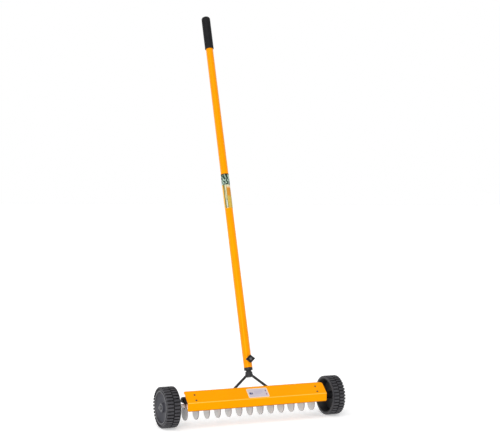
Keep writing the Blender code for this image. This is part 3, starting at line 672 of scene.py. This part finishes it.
def wheel_mesh():
    """The dished wheel, with its axis on local Z and its outer face towards +Z."""
    profile = [(r * MM, z * MM) for r, z in OUTER_FACE]
    profile += [(r * MM, -z * MM) for r, z in reversed(INNER_FACE)]
    cuts = sorted({0.0, LUG_SHARE, 0.5, (0.5 + LUG_SHARE) % 1.0, 0.25, 0.75})
    turns = [2 * math.pi * (k + c) / LUG_PITCHES for k in range(LUG_PITCHES) for c in cuts]
    bm = bmesh.new()
    rings = [[bm.verts.new((r * math.cos(a), r * math.sin(a), z)) for r, z in profile] for a in turns]
    count = len(profile)
    for first, second in zip(rings, rings[1:] + rings[:1]):
        for i in range(count):
            j = (i + 1) % count
            bm.faces.new((first[i], second[i], second[j], first[j]))
    bmesh.ops.recalc_face_normals(bm, faces=bm.faces)
    lugs = []
    for face in bm.faces:
        centre = face.calc_center_median()
        radius = math.hypot(centre.x, centre.y)
        if radius > LUG_START and abs(centre.z) > GROOVE_HALF and centre.z > RIM_START:
            share = math.atan2(centre.y, centre.x) / (2 * math.pi) * LUG_PITCHES
            if lug_sector(share % 1.0, centre.z > 0):
                lugs.append(face)
    bmesh.ops.inset_region(bm, faces=lugs, thickness=0.5 * MM, depth=LUG_DEPTH, use_even_offset=True)
    return bm


def build_wheels():
    for side, sign in SIDES:
        centre = middle(f"wheel_{side}")
        turn = ALONG_X if sign > 0 else ALONG_MINUS_X
        place = Matrix.Translation(centre) @ turn
        piece(f"wheel_moulding_{side}", wheel_mesh(), place, WHEEL_PLASTIC, f"wheel_{side}",
              bevel=0.55 * MM, rings=2)
        bore = AXLE_RADIUS + FIT_GAP
        bush = [
            (WHEEL_BORE, BUSH_END - 0.1 * MM), (WHEEL_BORE, -BUSH_END), (WHEEL_BORE + 3 * MM, -BUSH_END),
            (WHEEL_BORE + 3 * MM, -BUSH_FLANGE), (bore, -BUSH_FLANGE), (bore, BUSH_END - 0.1 * MM),
        ]
        piece(f"hub_bush_{side}", turned(fillet(bush, 0.4 * MM, 3), 32), place, NYLON, f"wheel_bush_{side}")
        reach = abs(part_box(f"axle_cap_{side}")[0 if sign < 0 else 1].x) - abs(centre.x)
        cap = [
            (0, reach), (5.0 * MM, reach - 0.5 * MM), (8.4 * MM, reach - 2.6 * MM),
            (CAP_RADIUS, CAP_FOOT + 2.2 * MM), (CAP_RADIUS, CAP_FOOT), (bore, CAP_FOOT),
            (bore, reach - 3.0 * MM), (0, reach - 3.0 * MM),
        ]
        piece(f"push_cap_{side}", lathe(cap, 0.6 * MM, 3), place, HUB_PLASTIC, f"axle_cap_{side}")


# ---------------------------------------------------------------- cover
def slope_place(x, distance, offset):
    """A frame on the slope: local X along the cover, Y up the slope and Z out of it."""
    spot = LIP_TOP + SLOPE * distance + SLOPE_OUT * offset
    return at(spot.x, spot.y, x) @ Matrix.Rotation(SLOPE_ANGLE, 4, "X")


def slope_spot(node):
    """A node's middle as (x, distance up the slope from the fold)."""
    spot = middle(node)
    return spot.x, (Vector((spot.y - AXLE.y, spot.z - AXLE.z)) - LIP_TOP).dot(SLOPE)


def cover_rows():
    """The sheet's section from the lip up, as ((y, z), its left end's x, its right end's x)."""
    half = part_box("cover_plate")[1].x
    up = (LIP_TOP - LIP_BOTTOM).normalized()
    quarter = [math.pi / 2 * i / 8 for i in range(9)]
    folded = fillet([LIP_BOTTOM, LIP_TOP, RIDGE, RETURN_EDGE], FOLD_REACH, 6, closed=False)
    front_fold, ridge_fold = folded[1:8], folded[8:15]
    rows = []
    for turn in quarter:
        end = half - LIP_CORNER * (1 - math.sin(turn))
        rows.append((LIP_BOTTOM + up * LIP_CORNER * (1 - math.cos(turn)), -end, end))
    rows += [(spot, -half, half) for spot in front_fold]
    start = Vector(ridge_fold[0])
    for turn in reversed(quarter[1:]):
        back = 1 - math.sin(turn)
        spot = start - SLOPE * RIDGE_CORNER * (1 - math.cos(turn))
        rows.append((spot, LEFT_RIDGE_CORNER * back - half, half - RIDGE_CORNER * back))
    ends = (LEFT_RIDGE_CORNER - half, half - RIDGE_CORNER)
    return rows + [(spot, *ends) for spot in ridge_fold + [RETURN_EDGE]]


def cover_mesh():
    """The open sheet: lip, slope and return, with rounded corners and folds."""
    bm = bmesh.new()
    rows = [
        [bm.verts.new((left + (right - left) * i / 4, AXLE.y + y, AXLE.z + z)) for i in range(5)]
        for (y, z), left, right in cover_rows()
    ]
    for low, high in zip(rows, rows[1:]):
        for i in range(len(low) - 1):
            bm.faces.new((low[i], low[i + 1], high[i + 1], high[i]))
    return bm


def screw_head():
    """A pan head and its shank, standing on local Z = 0."""
    dome = [(0, 2.1), (1.6, 2.05), (3.0, 1.7), (3.8, 1.0), (4.0, 0.5), (3.9, 0.3)]
    shank = [(SCREW_SHANK, 0.3 * MM), (SCREW_SHANK, -8.7 * MM), (0, -8.9 * MM)]
    return turned([(r * MM, z * MM) for r, z in dome] + shank, 32, closed=False)


def build_cover():
    cover = piece("bent_cover", cover_mesh(), Matrix.Identity(4), folded_paint(), "cover_plate", smooth=60)
    sheet = cover.modifiers.new("sheet", "SOLIDIFY")
    sheet.thickness = COVER_SHEET
    sheet.offset = -1.0
    sheet.use_even_offset = True
    edges = cover.modifiers.new("edges", "BEVEL")
    edges.width = 0.45 * MM
    edges.segments = 3
    edges.limit_method = "ANGLE"
    edges.angle_limit = math.radians(60)
    edges.harden_normals = True
    for side, _ in SIDES:
        for level in ("lower", "upper"):
            node = f"cover_screw_{side}_{level}"
            place = slope_place(*slope_spot(node), 0)
            head = piece(f"pan_screw_{side}_{level}", screw_head(), place, SCREW_PLATE, node)
            cut_recess(head, place)
    outline = fillet([(-LABEL_HALF.x, -LABEL_HALF.y), (LABEL_HALF.x, -LABEL_HALF.y),
                      (LABEL_HALF.x, LABEL_HALF.y), (-LABEL_HALF.x, LABEL_HALF.y)], 6 * MM, 6)
    place = slope_place(*slope_spot("cover_label"), FIT_GAP + FILM / 2)
    piece("printed_cover_label", slab([outline], FILM), place, cover_label_print(), "cover_label",
          bevel=0.08 * MM)


def cut_recess(head, place):
    """Cuts a cross recess into a screw's head; its walls take a near-black material, painted shade in the
    recess.
    """
    arms = [slab([[(-half, -wide), (half, -wide), (half, wide), (-half, wide)]], 3.0 * MM)
            for half, wide in ((3.2 * MM, 1.2 * MM), (1.2 * MM, 3.2 * MM))]
    lift = Matrix.Translation((0, 0, 2.4 * MM))
    for number, bm in enumerate(arms):
        mesh = bpy.data.meshes.new("recess")
        bm.to_mesh(mesh)
        bm.free()
        # The recess walls take the near-black painted shade.
        mesh.materials.append(RECESS_SHADE)
        tool = bpy.data.objects.new(f"recess_{number}", mesh)
        bpy.context.scene.collection.objects.link(tool)
        tool.matrix_world = place @ lift
        apply_cut(head, tool)


def apply_cut(target, tool):
    """Subtracts a tool from a piece for good, and removes the tool."""
    modifier = target.modifiers.new("cut", "BOOLEAN")
    modifier.operation = "DIFFERENCE"
    modifier.object = tool
    modifier.solver = "EXACT"
    modifier.material_mode = "TRANSFER"
    bpy.context.view_layer.update()
    shaped = bpy.data.meshes.new_from_object(target.evaluated_get(bpy.context.evaluated_depsgraph_get()))
    target.modifiers.remove(modifier)
    target.data = shaped
    bpy.data.objects.remove(tool)


# ---------------------------------------------------------------- frame bar, brackets, lugs
def bar_outline(inset):
    """The bar's section as (y, z) from the axle: flat below, arched sides and a narrow flat top."""
    half, low, high = BAR_HALF_WIDTH - inset, BAR_BOTTOM + inset, BAR_TOP - inset
    rise = high - low - 7 * MM
    arch = [
        (half - (half - 8 * MM) * (1 - math.cos(a)), high - rise * (1 - math.sin(a)))
        for a in (math.pi / 2 * i / 12 for i in range(13))
    ]
    return [(half, low)] + arch + [(-y, z) for y, z in reversed(arch)] + [(-half, low)]


def bar_end(length):
    """A domed end plug: the bar's section, drawn in towards local +Z."""
    outline = bar_outline(0)
    middle_height = (BAR_BOTTOM + BAR_TOP) / 2
    bm = bmesh.new()
    turns = [math.pi / 2 * i / 10 for i in range(11)]
    dome = [(0.42 + 0.58 * math.cos(a), 0.25 + 0.75 * math.sin(a)) for a in turns]
    stages = [(1.0, 0.0)] + dome + [(0, 1.0)]
    rings = []
    for scale, rise in stages:
        rings.append([
            bm.verts.new((y * scale, middle_height + (z - middle_height) * scale, length * (rise - 0.5)))
            for y, z in outline
        ])
    for first, second in zip(rings, rings[1:]):
        for i in range(len(outline)):
            j = (i + 1) % len(outline)
            bm.faces.new((first[i], first[j], second[j], second[i]))
    bm.faces.new(rings[0])
    bmesh.ops.remove_doubles(bm, verts=bm.verts, dist=1e-7)
    bmesh.ops.recalc_face_normals(bm, faces=bm.faces)
    return bm


def bracket_mesh(sign, web_x, spots):
    """The web round the axle and up to the slope, and the flange that the cover is screwed to."""
    beside = -BAR_HALF_WIDTH - 2 * MM
    below_bar = BAR_BOTTOM - FIT_GAP
    ear_radius = 14 * MM
    lower = LIP_TOP + SLOPE * FLANGE_START + SLOPE_OUT * FLANGE_DEPTH
    upper = LIP_TOP + SLOPE * FLANGE_END + SLOPE_OUT * FLANGE_DEPTH
    corners = [tuple(lower), tuple(upper), (beside, BAR_TOP), (beside, below_bar), (ear_radius, below_bar)]
    outline = arc((0, 0), ear_radius, 0, -180, 24) + fillet(corners, 2 * MM, 3)
    web = slab([outline, arc((0, 0), AXLE_RADIUS + FIT_GAP, 0, 350, 35)], PLATE_STEEL)
    length = FLANGE_END - FLANGE_START
    corners = [(-FLANGE_HALF, 0), (FLANGE_HALF, 0), (FLANGE_HALF, length), (-FLANGE_HALF, length)]
    holes = [arc(spot, SCREW_SHANK + FIT_GAP, 0, 345, 23) for spot in spots]
    flange = slab([fillet(corners, 2 * MM, 3)] + holes, PLATE_STEEL)
    flange_place = slope_place(web_x + sign * FLANGE_OFFSET, FLANGE_START, FLANGE_DEPTH)
    return joined((web, at(0, 0, web_x) @ SIDE_PLANE), (flange, flange_place))


def lug_mesh(sign):
    """A bent lug: its base on the bar and one round-topped ear round the arm's pin."""
    low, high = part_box(f"pivot_lug_{'left' if sign < 0 else 'right'}")
    half = (high.y - low.y) / 2
    ear_outline = arc(PIVOT.yz, half, 0, 180, 24) + [(low.y, low.z), (high.y, low.z)]
    ear = slab([ear_outline, arc(PIVOT.yz, ARM_RADIUS + FIT_GAP, 0, 345, 23)], PLATE_STEEL)
    ear_x = high.x - PLATE_STEEL / 2 if sign > 0 else low.x + PLATE_STEEL / 2
    corners = [(low.x, low.y), (high.x, low.y), (high.x, high.y), (low.x, high.y)]
    base = slab([fillet(corners, 2 * MM, 3)], PLATE_STEEL)
    return joined(
        (ear, Matrix.Translation((ear_x, 0, 0)) @ SIDE_PLANE),
        (base, Matrix.Translation((0, 0, low.z + PLATE_STEEL / 2))),
    )


def build_bar_end(side, sign):
    low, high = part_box(f"bar_plug_{side}")
    turn = SIDE_PLANE if sign > 0 else Matrix.Scale(-1, 4, Vector((1, 0, 0))) @ SIDE_PLANE
    plug = joined((bar_end(high.x - low.x), turn))
    bmesh.ops.recalc_face_normals(plug, faces=plug.faces)
    piece(f"domed_bar_end_{side}", plug, at(0, 0, (low.x + high.x) / 2), BLACK_PLASTIC,
          f"bar_plug_{side}", smooth=50)


def build_bracket(side, sign):
    low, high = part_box(f"end_bracket_{side}")
    web_x = high.x - PLATE_STEEL / 2 if sign < 0 else low.x + PLATE_STEEL / 2
    spots = []
    for level in ("lower", "upper"):
        x, along = slope_spot(f"cover_screw_{side}_{level}")
        spots.append((x - web_x - sign * FLANGE_OFFSET, along - FLANGE_START))
    piece(f"bent_bracket_{side}", bracket_mesh(sign, web_x, spots), Matrix.Identity(4), BLACK_PAINT,
          f"end_bracket_{side}", bevel=0.4 * MM)


def build_frame():
    low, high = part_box("frame_bar")
    bar = slab([bar_outline(0), bar_outline(BAR_WALL)], high.x - low.x)
    piece("domed_frame_bar", bar, at(0, 0) @ SIDE_PLANE, BLACK_PAINT, "frame_bar", smooth=30, bevel=0.4 * MM)
    for side, sign in SIDES:
        build_bar_end(side, sign)
        build_bracket(side, sign)
        piece(f"bent_lug_{side}", lug_mesh(sign), Matrix.Identity(4), BLACK_PAINT, f"pivot_lug_{side}",
              bevel=0.4 * MM)


# ---------------------------------------------------------------- axle, sleeves, paddles
def paddle_mesh(x):
    """A plate with a small eye and a large round end, and a hub on its right side."""
    turn = math.degrees(math.asin((LOBE_RADIUS - EYE_RADIUS) / LOBE_DROP))
    outline = arc((0, 0), EYE_RADIUS, turn, 180 - turn, 16)
    outline += arc((0, -LOBE_DROP), LOBE_RADIUS, 180 - turn, 360 + turn, 56)
    bore = AXLE_RADIUS + FIT_GAP
    plate = slab([outline, arc((0, 0), bore, 0, 350, 35)], PLATE - 2 * EYE_RISE)
    eye = tube_ring(EYE_RADIUS - 0.5 * MM, bore, -PLATE / 2, PLATE / 2, SLEEVE_EDGE)
    hub = tube_ring(HUB_RADIUS, bore, 1.0 * MM, PLATE / 2 + HUB_LENGTH, SLEEVE_EDGE)
    place = at(0, 0, x) @ SIDE_PLANE
    return joined((plate, place), (eye, place), (hub, place))


def build_axle_row():
    plating = plated_paddle()
    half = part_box("axle")[1].x
    rod = [(0, half), (AXLE_RADIUS, half), (AXLE_RADIUS, -half), (0, -half)]
    piece("turned_axle", lathe(rod, 1 * MM, 3), at(0, 0) @ ALONG_X, STEEL, "axle")
    for node in sorted(frame["nodes"]):
        low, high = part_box(node)
        if node.startswith(("paddle_sleeve", "wheel_spacer")):
            ring = tube_ring((high.z - low.z) / 2, AXLE_RADIUS + FIT_GAP, low.x, high.x)
            piece(f"nylon_{node}", ring, at(0, 0) @ ALONG_X, NYLON, node)
        elif node.startswith("magnet_paddle"):
            shape = paddle_mesh(low.x + PLATE / 2)
            piece(f"plate_{node}", shape, Matrix.Identity(4), plating, node, bevel=0.9 * MM, rings=3)


# ---------------------------------------------------------------- yoke and handle
def pole_radius(station):
    share = (station - COLLAR_TOP) / (POLE_TOP - COLLAR_TOP)
    return FOOT_RADIUS + (HEAD_RADIUS - FOOT_RADIUS) * share


def build_yoke():
    outline = [                 # (radius, distance from the pivot): spigot, collar, neck, hub
        (0, 155.0), (14.0, 155.0), (15.5, 153.0), (15.5, 86.5), (17.3, 86.5), (17.3, 76.5), (12.0, 76.0),
        (10.5, 75.0), (10.5, 71.4), (12.0, 70.4), (14.2, 69.6), (14.8, 62.0), (16.0, 57.0), (16.0, 48.8),
        (0, 48.8),
    ]
    socket = lathe([(r * MM, z * MM) for r, z in outline], 0.8 * MM, 3, steps=48)
    piece("turned_socket", socket, POLE_FRAME, BLACK_PAINT, "yoke_socket", smooth=30)
    pin_end = abs(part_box("yoke_arm_left")[0].x)
    bore = ARM_RADIUS + FIT_GAP
    for side, sign in SIDES:
        path = fillet([ARM_TOP, ARM_CORNER, (pin_end, 0)], 8 * MM, 8, closed=False)
        arm = swept([(sign * x, z) for x, z in path], ARM_RADIUS, 24)
        piece(f"bent_arm_{side}", arm, POLE_FRAME, BLACK_PAINT, f"yoke_arm_{side}", bevel=0.5 * MM)
        low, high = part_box(f"pin_cap_{side}")
        height = high.x - low.x
        cap = [
            (0, height), (PIN_CAP_RADIUS, height), (PIN_CAP_RADIUS, 0), (bore, 0),
            (bore, height - PIN_CAP_FLOOR), (0, height - PIN_CAP_FLOOR),
        ]
        foot = low.x if sign > 0 else high.x
        place = Matrix.Translation((foot, PIVOT.y, PIVOT.z)) @ (ALONG_X if sign > 0 else ALONG_MINUS_X)
        piece(f"pressed_cap_{side}", lathe(cap, 1.6 * MM, 4), place, STEEL, f"pin_cap_{side}")


def grip_profile():
    """A domed closed end, low rings along the body and a plain band round the mouth."""
    dome_place = (GRIP_RADIUS - GRIP_DOME, GRIP_TOP - GRIP_DOME)
    body = []
    for index in range(GRIP_RINGS):
        z = GRIP_TOP - 18 * MM - index * GRIP_RING_PITCH
        crest = GRIP_RADIUS - 0.05 * MM
        body += [(GRIP_RADIUS - 0.45 * MM, z), (crest, z - 0.9 * MM), (crest, z - 1.9 * MM)]
    inner = pole_radius(GRIP_BOTTOM) + FIT_GAP
    mouth = [
        (GRIP_RADIUS - 0.5 * MM, GRIP_BOTTOM + 9 * MM), (GRIP_RADIUS, GRIP_BOTTOM + 8 * MM),
        (GRIP_RADIUS, GRIP_BOTTOM + 1 * MM), (GRIP_RADIUS - 1 * MM, GRIP_BOTTOM), (inner, GRIP_BOTTOM),
    ]
    inside = [(inner, POLE_TOP + FIT_GAP), (0, POLE_TOP + FIT_GAP)]
    return [(0, GRIP_TOP)] + arc(dome_place, GRIP_DOME, 90, 8, 12) + body + mouth + inside


def build_handle():
    foot = COLLAR_TOP + FIT_GAP
    tube = [
        (HEAD_RADIUS, POLE_TOP), (FOOT_RADIUS, foot), (FOOT_RADIUS - POLE_WALL, foot),
        (HEAD_RADIUS - POLE_WALL, POLE_TOP),
    ]
    piece("painted_pole", turned(fillet(tube, 0.5 * MM, 3), 64), POLE_FRAME, YELLOW_TUBE, "handle_pole")
    grip = turned(grip_profile(), 64, closed=False)
    piece("ribbed_grip", grip, POLE_FRAME, GRIP_RUBBER, "hand_grip", smooth=50)
    build_pole_label()


def build_pole_label():
    """A thin film that wraps the front of the pole, with its lower edge at local Z = 0."""
    length, steps = LABEL_TOP - LABEL_BOTTOM, 40
    bm = bmesh.new()
    rings = []
    for radius_extra, z in ((0.3, 0), (0.3, length), (0.6, length), (0.6, 0)):
        radius = pole_radius(LABEL_BOTTOM + z) + radius_extra * MM
        turns = [-math.pi / 2 + LABEL_WRAP * (i / steps - 0.5) for i in range(steps + 1)]
        rings.append([bm.verts.new((radius * math.cos(a), radius * math.sin(a), z)) for a in turns])
    for first, second in zip(rings, rings[1:] + rings[:1]):
        for i in range(steps):
            bm.faces.new((first[i], first[i + 1], second[i + 1], second[i]))
    for end in (0, -1):
        bm.faces.new([ring[end] for ring in rings])
    bmesh.ops.recalc_face_normals(bm, faces=bm.faces)
    place = POLE_FRAME @ Matrix.Translation((0, 0, LABEL_BOTTOM))
    piece("printed_pole_label", bm, place, pole_label_print(length, LABEL_TURN), "handle_label")


def build_knob():
    """A diamond head, a round stem and a steel stud; local Z points away from the pole."""
    place = POLE_FRAME @ Matrix.Translation((0, 0, KNOB_STATION)) @ FORWARD
    corners = [(KNOB_HALF_WIDTH, 0), (0, KNOB_HALF_HEIGHT), (-KNOB_HALF_WIDTH, 0), (0, -KNOB_HALF_HEIGHT)]
    head = slab([fillet(corners, 2.6 * MM, 5)], KNOB_DEPTH)
    end = KNOB_FACE - KNOB_DEPTH + 1 * MM
    tube = [(STEM_RADIUS, STEM_START), (STEM_RADIUS, end), (STEM_BORE, end), (STEM_BORE, STEM_START)]
    stem = turned(fillet(tube, 0.5 * MM, 3), 32)
    shape = joined((head, Matrix.Translation((0, 0, KNOB_FACE - KNOB_DEPTH / 2))), (stem, Matrix.Identity(4)))
    piece("diamond_knob", shape, place, BLACK_PLASTIC, "lock_knob", bevel=1.8 * MM, rings=4)
    stud = [(0, 38.1), (4.6, 37.6), (6.2, 36.3), (6.2, 35.0), (4.0, 35.0), (4.0, 16.1), (0, 15.8)]
    stud_end = lathe([(r * MM, z * MM) for r, z in stud], 0.4 * MM, 3)
    piece("stud_end", stud_end, place, DARK_STEEL, "knob_stud")


# ---------------------------------------------------------------- studio
FLOOR_GLOW = 0.34               # a little light of the floor's own, as if it were lit from below
SUN_STRENGTH, SUN_ANGLE = 0.95, math.radians(50)
SUN_WAY = Vector((0.45, 0.45, -1.0))
KEY_POWER = 95
CAMERA_PLACE = Vector((-2.02655, -4.45743, 0.95515))
CAMERA_TURN = math.radians(25.40)       # to the right of +Y
CAMERA_PITCH = math.radians(-1.94)
CAMERA_ROLL = math.radians(0.65)
CAMERA_LENS = 84.70


def build_camera():
    camera = bpy.data.objects.new("camera", bpy.data.cameras.new("camera"))
    bpy.context.scene.collection.objects.link(camera)
    camera.data.lens = CAMERA_LENS
    camera.data.sensor_width = 36.0
    camera.data.clip_end = 60.0
    level = Vector((math.sin(CAMERA_TURN), math.cos(CAMERA_TURN), 0))
    ahead = level * math.cos(CAMERA_PITCH) + Vector((0, 0, math.sin(CAMERA_PITCH)))
    right = Vector((level.y, -level.x, 0))
    up = right.cross(ahead)
    rolled_right = right * math.cos(CAMERA_ROLL) + up * math.sin(CAMERA_ROLL)
    rolled_up = up * math.cos(CAMERA_ROLL) - right * math.sin(CAMERA_ROLL)
    turn = Matrix((rolled_right, rolled_up, -ahead)).transposed()
    camera.matrix_world = Matrix.Translation(CAMERA_PLACE) @ turn.to_4x4()
    bpy.context.scene.camera = camera


def area_light(name, place, target, size, power):
    light = bpy.data.objects.new(name, bpy.data.lights.new(name, "AREA"))
    bpy.context.scene.collection.objects.link(light)
    light.data.shape = "RECTANGLE"
    light.data.size, light.data.size_y = size
    light.data.energy = power
    light.location = place
    light.rotation_euler = (Vector(target) - Vector(place)).to_track_quat("-Z", "Y").to_euler()


def build_studio():
    """A pale floor lit from below too, a white room that dims overhead, a broad sun and a soft box."""
    floor = finish("pale_floor", (0.93, 0.93, 0.93), (0.91, 0.91, 0.91), 0.85, drift=1.5, grain=60.0,
                   Emission_Color=(1, 1, 1, 1), Emission_Strength=FLOOR_GLOW, Specular_IOR_Level=0.1)
    bm = bmesh.new()
    bmesh.ops.create_grid(bm, x_segments=8, y_segments=8, size=40.0)
    mesh = bpy.data.meshes.new("floor")
    bm.to_mesh(mesh)
    bm.free()
    mesh.materials.append(floor)
    plane = bpy.data.objects.new("floor", mesh)
    bpy.context.scene.collection.objects.link(plane)
    plane.location = (0, 0, cad_box[0].z - 0.2 * MM)
    world = bpy.data.worlds.new("room")
    world.use_nodes = True
    tree = world.node_tree
    direction = add_node(tree, "ShaderNodeTexCoord").outputs["Generated"]
    height = add_node(tree, "ShaderNodeSeparateXYZ", {"Vector": direction}).outputs["Z"]
    tree.links.new(scaled(tree, height, 0.25, 0.60, 1.0, 0.45), tree.nodes["Background"].inputs["Strength"])
    tree.nodes["Background"].inputs["Color"].default_value = (1.0, 1.0, 1.0, 1.0)
    bpy.context.scene.world = world
    sun = bpy.data.objects.new("broad_sun", bpy.data.lights.new("broad_sun", "SUN"))
    bpy.context.scene.collection.objects.link(sun)
    sun.data.energy = SUN_STRENGTH
    sun.data.angle = SUN_ANGLE
    sun.rotation_euler = SUN_WAY.to_track_quat("-Z", "Y").to_euler()
    area_light("key", (-3.0, -4.4, 1.5), (0, -0.1, 0.6), (1.4, 2.2), KEY_POWER)
    bpy.context.scene.view_settings.view_transform = "Standard"


build_camera()
build_studio()
build_wheels()
build_cover()
build_frame()
build_axle_row()
build_yoke()
build_handle()
build_knob()
